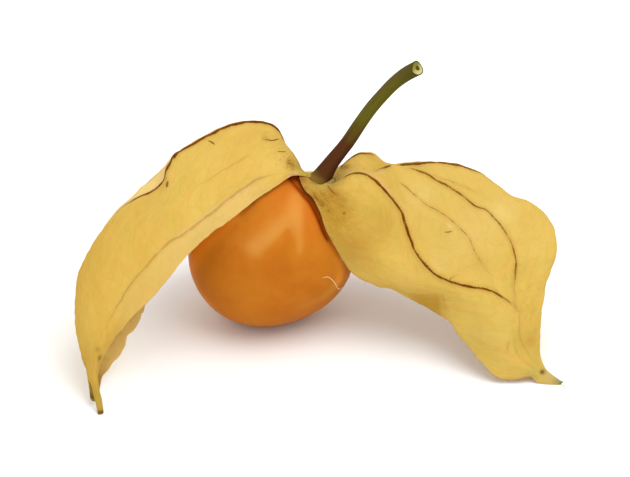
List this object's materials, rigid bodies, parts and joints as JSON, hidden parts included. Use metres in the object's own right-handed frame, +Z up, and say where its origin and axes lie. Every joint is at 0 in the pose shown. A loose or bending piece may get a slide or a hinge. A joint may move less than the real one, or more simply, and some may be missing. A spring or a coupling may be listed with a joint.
{
  "type": "physalis berry",
  "caption": "Ripe physalis berry lying on its side with its stalk, its papery husk torn open and folded back to both sides.",
  "frame": {"origin": "centre of the flat spot under the berry, on the surface that the fruit lies on", "axes": "+Z up, +X from the left husk flap to the right one, -Y towards the side on which the husk is open and the flap tips touch the surface"},
  "size_m": [0.0588, 0.036, 0.0339],
  "materials": {
    "berry_skin": "satin",
    "calyx_base": "matte",
    "stalk": "satin",
    "husk_paper": "matte"
  },
  "bodies": {
    "root": {"berry": "berry_skin", "husk_collar": "calyx_base", "stem": "stalk", "left_husk_flap": "husk_paper", "right_husk_flap": "husk_paper"}
  },
  "joints": []
}
